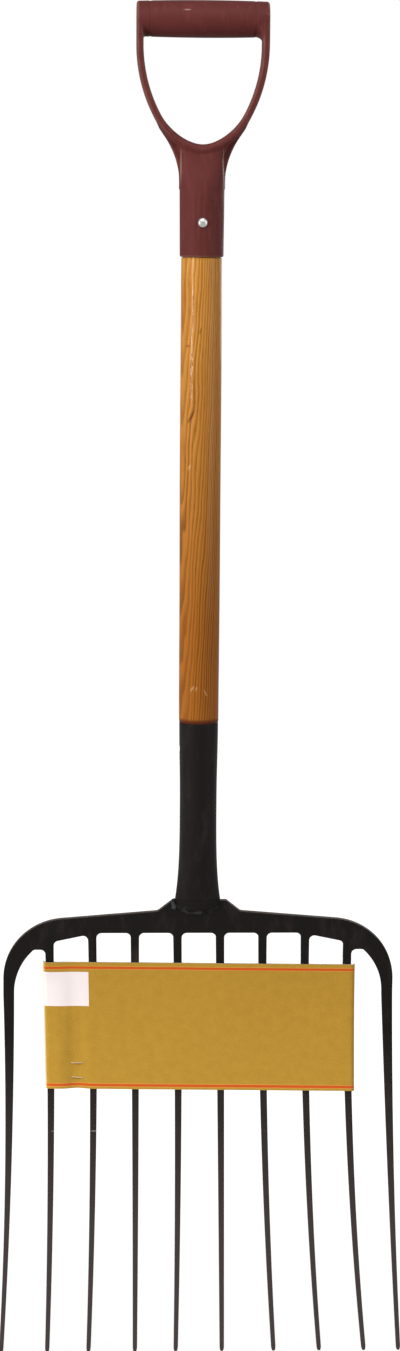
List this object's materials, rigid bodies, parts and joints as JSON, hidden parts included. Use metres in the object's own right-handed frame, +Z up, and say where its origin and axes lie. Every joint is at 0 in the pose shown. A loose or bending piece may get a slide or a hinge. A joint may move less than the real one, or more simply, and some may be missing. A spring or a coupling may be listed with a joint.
{
  "type": "ensilage fork",
  "caption": "Upright farm fork with a moulded D grip, wooden shaft, tube socket and a wide comb head of long forward-curved tines, with a card sleeve round them.",
  "frame": {"origin": "under the middle of the grip bar, at mid width and mid depth, where the fork hangs on a hook", "axes": "+Z up along the shaft towards the grip bar, +X to the right across the head as seen from the front, -Y towards the viewer and the way the tine tips curve"},
  "size_m": [0.3888, 0.1031, 1.2903],
  "materials": {
    "grip_plastic": "moulded, semi-gloss",
    "bright_steel": "bright",
    "varnished_ash": "varnished",
    "black_paint": "satin black",
    "gold_card": "printed card",
    "staple_wire": "bright wire"
  },
  "bodies": {
    "root": {"d_grip": "grip_plastic", "grip_rivet": "bright_steel", "shaft": "varnished_ash", "socket": "black_paint", "socket_screw": "bright_steel", "weld_front": "black_paint", "weld_back": "black_paint", "weld_left": "black_paint", "head_plate": "black_paint", "card_sleeve": "gold_card", "staple_upper": "staple_wire", "staple_lower": "staple_wire"}
  },
  "joints": []
}
